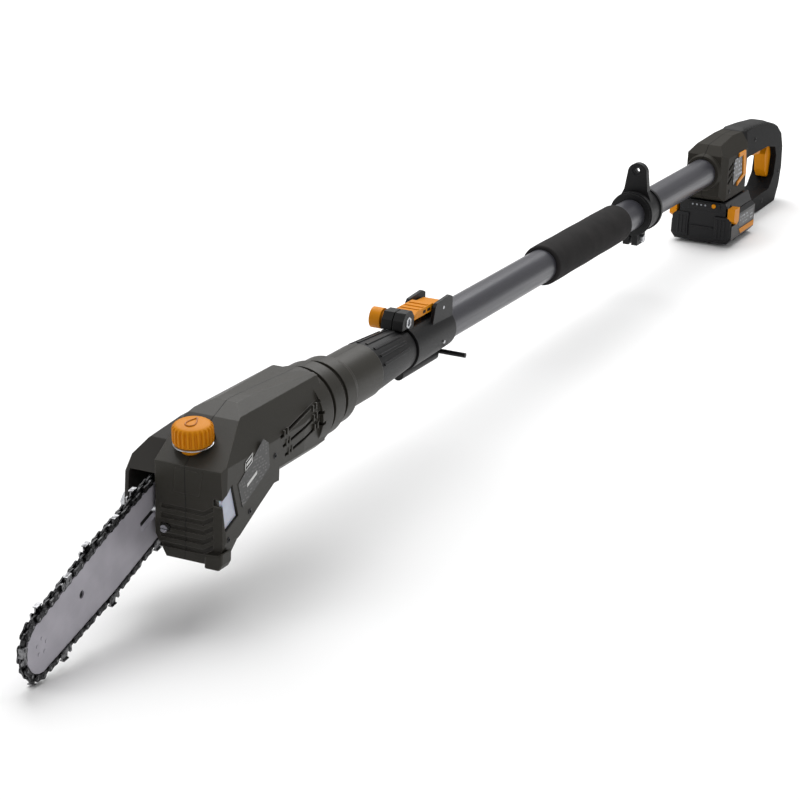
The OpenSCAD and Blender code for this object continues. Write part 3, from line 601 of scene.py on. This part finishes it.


# ---- Painted shade in small openings ----
# The lightening hole of the guide bar, filled by a dark disc that is painted shade for the open hole,
# and a ring of short slots round the neck between two ribs, drawn as thin dark patches of painted shade.
# painted shade: a dark disc laid in the guide bar's open hole
round_eye = np.linspace(0, 6, 24)
flat_slab("bar_eye_painted_shade", np.stack([-148 + 2.9 * np.cos(round_eye), 3 + 2.9 * np.sin(round_eye)], -1),
          (-30.5, drive_y, drive_z), np.array([0, math.cos(tilt), math.sin(tilt)]),
          np.array([0, -math.sin(tilt), math.cos(tilt)]), X, 1.2, "bar", chain_black, 0.0)
# painted shade: each neck slot is a thin dark patch on the surface
for k in range(5):
    turn = math.radians(-26 + 13 * k)
    flat_slab("neck_slot_%d" % k, [[-310.5, -2.6], [-307, -2.6], [-307, 2.6], [-310.5, 2.6]],
              (29.15 * math.cos(turn), 0, 29.15 * math.sin(turn)), Y,
              np.array([-math.sin(turn), 0, math.cos(turn)]),
              np.array([math.cos(turn), 0, math.sin(turn)]), 0.35, "head", painted_slot_shade, 0.0)


# ---- Labels ----
# Printed foil labels: gloss black with small pale marks in rows. The marks are plain dashes
# and a blank box, and hold no words.
def label_print(name, along, up, row_mm, dash_mm, ground_colour, ink):
    """Rows of dashes: a row shows where its wave is high, and noise cuts it into dashes."""
    mat, shader = new_material(name)
    coords = object_coords(mat)
    split = add(mat, "ShaderNodeSeparateXYZ", {"Vector": coords})
    row_pos = add(mat, "ShaderNodeMath", {0: split.outputs[up], 1: 1 / (row_mm * mm)},
                  operation="MULTIPLY").outputs[0]
    row = add(mat, "ShaderNodeMath", {0: row_pos}, operation="FRACT").outputs[0]
    on_row = add(mat, "ShaderNodeMath", {0: row, 1: 0.45}, operation="LESS_THAN").outputs[0]
    dash = add(mat, "ShaderNodeTexWhiteNoise", {"Vector": add(mat, "ShaderNodeVectorMath", {
        0: coords, 1: (dash_mm * mm, dash_mm * mm, row_mm * mm)},
        operation="SNAP").outputs[0]}).outputs["Value"]
    shows = add(mat, "ShaderNodeMath", {0: dash, 1: 0.66}, operation="GREATER_THAN").outputs[0]
    both = add(mat, "ShaderNodeMath", {0: on_row, 1: shows}, operation="MULTIPLY").outputs[0]
    paint(shader, Base_Color=two_tone(mat, both, linear(ground_colour), linear(ink)), Roughness=0.4,
          Coat_Weight=0.1, Coat_Roughness=0.2)
    return mat


shown(["rating_plate"], label_print("printed rating foil", "Y", "Z", 2.6, 1.5, "#161514", "#454442"))
shown(["side_panel"], label_print("printed side foil", "Y", "Z", 5.0, 2.4, "#101012", "#9a9ea6"))
# blank white box and bar printed on the rating foil
ink_white, shader = new_material("white screen print")
paint(shader, Base_Color=two_tone(ink_white, speckle(ink_white, 2, 2), linear("#c9c9c7"), linear("#dededc")),
      Roughness=0.45)
slant = np.array([0, 0.93, 0.37])
for name, outline, place in (
        ("label_box_top", [[0, 0], [11, 0], [11, -0.7], [0, -0.7]], (32.4, -456, 3.2)),
        ("label_box_low", [[0, 0], [11, 0], [11, -0.7], [0, -0.7]], (32.4, -456, -3.2)),
        ("label_box_front", [[0, 0], [0.8, 0], [0.8, -7], [0, -7]], (32.4, -456, 3.2)),
        ("label_box_rear", [[0, 0], [0.8, 0], [0.8, -7], [0, -7]], (32.4, -445.6, 7.3)),
        ("label_words", [[0, 0], [8.4, 0], [8.4, -2.4], [0, -2.4]], (32.4, -454.2, 1.6)),
        ("label_bar", [[0, 0], [16, 0], [16, -2.6], [0, -2.6]], (32.4, -452, -14.5))):
    flat_slab(name, outline, place, slant, Z, X, 0.12, "head", ink_white, 0.0)
pack_foil = label_print("printed pack foil", "Y", "Z", 4.0, 2.0, "#121316", "#85888d")


# ---- Foam grip ----
# A sleeve of closed cell rubber foam, pushed on and held by its own grip. Its ends are softly
# rounded and its skin has a fine leathery grain.
def sleeve(start, length, inner, outer, edge, turns, rows):
    """Closed sleeve: radius rises from inner to outer over a quarter round of edge at each end."""
    bend = np.linspace(0, np.pi / 2, 8)
    y = np.concatenate([[start], start + edge * (1 - np.cos(bend)),
                        np.linspace(start + edge, start + length - edge, rows)[1:-1],
                        start + length - edge * (1 - np.cos(bend[::-1])), [start + length]])
    r = np.concatenate([[inner], outer - edge * (1 - np.sin(bend)), np.full(rows - 2, outer),
                        outer - edge * (1 - np.sin(bend[::-1])), [inner]])
    r = r + 0.12 * np.sin(y * 0.09) * (r > outer - 0.2)
    turn = np.linspace(0, 2 * np.pi, turns, endpoint=False)
    return np.stack([r[:, None] * np.cos(turn), np.broadcast_to(y[:, None], (len(y), turns)),
                     r[:, None] * np.sin(turn)], -1) * mm


foam, shader = new_material("closed cell rubber foam")
cells = add(foam, "ShaderNodeTexVoronoi", {"Vector": object_coords(foam),
                                           "Scale": 1 / (1.1 * mm)}).outputs["Distance"]
fuzz = speckle(foam, 18, 3)
paint(shader, Base_Color=two_tone(foam, between(foam, fuzz, 0.3, 0.7, 0, 1), linear("#201f1f"),
                                  linear("#282626")),
      Roughness=0.85, Normal=bumped(foam, cells, 0.12), Specular_IOR_Level=0.15)
grip_rows = sleeve(204, 205, 16.05, 19.8, 2.6, 96, 60)
foam_sleeve = mesh_piece("foam_sleeve", grip_rows, grid_faces(len(grip_rows), 96, True, True)[:, ::-1],
                         "pole", foam, 50, ["foam_grip"])


# ---- Rubber grip on the handle ----
# A soft black overmould on the top of the loop, with raised ribs across it for the palm.
rubber, shader = new_material("soft overmoulded rubber")
skin = speckle(rubber, 0.9, 3)
paint(shader, Base_Color=two_tone(rubber, speckle(rubber, 30, 2), linear("#0f0f0f"), linear("#161616")),
      Roughness=0.6,
      Normal=bumped(rubber, skin, 0.05), Specular_IOR_Level=0.3)
spine_y = np.array([800, 850, 905, 938, 960], float)
spine_z = np.array([32, 29, 24, 16, 3], float)


def grip_surface(rows, columns):
    """Saddle over the handle's top: z = spine(y) + crown across x + ribs every 9 mm along y."""
    y = np.linspace(801, 958, rows)
    top = np.interp(y, spine_y, spine_z)
    across = np.linspace(0, 2 * np.pi, columns, endpoint=False)
    half = 13.2 - 2.0 * np.clip((y - 930) / 28, 0, 1)
    ends = np.clip((y - 801) / 4, 0.02, 1) * np.clip((958 - y) / 4, 0.02, 1)
    ribbed = (y > 806) & (y < 906)
    rib = 1.15 * np.tanh(2.0 * np.sin(2 * np.pi * (y - 806) / 9.1)) * ribbed
    x = half[:, None] * np.sign(np.cos(across)) * np.abs(np.cos(across)) ** 0.6
    lift = np.where(np.sin(across) > 0, (2.4 + rib[:, None]) * np.sin(across) ** 0.5 * ends[:, None],
                    1.6 * np.sin(across))
    drop_off = -((x / 13.2) ** 4) * 1.0
    return np.stack([x, np.broadcast_to(y[:, None], x.shape), top[:, None] + lift + drop_off], -1) * mm


with np.errstate(invalid="ignore"):
    saddle = np.nan_to_num(grip_surface(160, 40))
body_faces = grid_faces(160, 40, wrap_columns=True)
ends = [list(range(40)), list(range(160 * 40 - 1, 159 * 40 - 1, -1))]
mesh_piece("palm_rubber", saddle, body_faces[:, ::-1].tolist() + ends, "pole", rubber, 50,
           ["grip_rubber"])
shown(["handle_lead"], rubber)


# ---- Battery pack details ----
# Ribs and a recessed band moulded on the pack's front, a foil on its side with an orange strip
# under it, and four lamps beside the charge button.
pack_y, pack_half = 710, 36
for side in (-1, 1):
    name = "near" if side > 0 else "far"
    flat_slab("pack_corner_" + name, [[15, -78], [31, -78], [35, -74], [35, -54], [31, -50.5], [15, -50.5],
                                      [15.8, -64]]
              if side > 0 else [[-15, -78], [-31, -78], [-35, -74], [-35, -54], [-31, -50.5], [-15, -50.5],
                                [-15.8, -64]],
              (0, pack_y - 2.2, 0), X, Z, Y, 3, "battery", pack_plastic, 0.9)
    for k in range(3):
        flat_slab("pack_rib_%s_%d" % (name, k), [[side * (19 + 4.2 * k) - 1, -75],
                                                 [side * (19 + 4.2 * k) + 1, -75],
                                                 [side * (19 + 4.2 * k) + 1, -54],
                                                 [side * (19 + 4.2 * k) - 1, -54]],
                  (0, pack_y - 3.0, 0), X, Z, Y, 1.4, "battery", pack_plastic, 0.4)
    flat_slab("pack_foil_" + name, [[735, -52.5], [790, -52.5], [790, -66], [738, -66]],
              (side * pack_half, 0, 0), Y, Z, side * X, 0.25, "battery", pack_foil, 0.0)
    flat_slab("pack_strip_" + name, [[738, -68.5], [795, -68.5], [795, -75], [745, -75]],
              (side * pack_half, 0, 0), Y, Z,
              side * X, 0.5, "battery", orange_plastic, 0.2)
flat_slab("pack_band", [[-14, -66.5], [14, -66.5], [14, -64], [-14, -64]], (0, pack_y - 1.4, 0), X, Z, Y, 2,
          "battery", pack_plastic, 0.5)

# smoked lamps: clear plastic over an unlit diode
lamp, shader = new_material("smoked lamp lens")
paint(shader, Base_Color=two_tone(lamp, speckle(lamp, 0.8, 1), linear("#6d7076"), linear("#8a8d94")),
      Roughness=0.2,
      Coat_Weight=0.6)
eight = np.linspace(0, 2 * np.pi, 14, endpoint=False)
for k in range(4):
    flat_slab("pack_lamp_%d" % k, np.stack([-12 + 5 * k + 1.1 * np.cos(eight), -39.8 + 1.1 * np.sin(eight)],
                                           -1),
              (0, pack_y - 1.5, 0), X, Z, Y, 0.7, "battery", lamp, 0.2)

# heat shrunk cell sleeves and the green circuit board, inside the closed housings
cell_wrap, shader = new_material("shrink sleeved cell")
paint(shader, Base_Color=two_tone(cell_wrap, speckle(cell_wrap, 12, 2), linear("#2f7d55"), linear("#276b49")),
      Roughness=0.35, Normal=bumped(cell_wrap, speckle(cell_wrap, 5, 2), 0.1))
shown(["battery_cells"], cell_wrap)
board, shader = new_material("solder masked circuit board")
tracks = add(board, "ShaderNodeTexBrick", {"Vector": object_coords(board), "Scale": 260.0,
                                           "Color1": linear("#1d5c37"), "Color2": linear("#227043"),
                                           "Mortar": linear("#b58a3d")}).outputs["Color"]
paint(shader, Base_Color=tracks, Roughness=0.4)
shown(["control_board"], board)
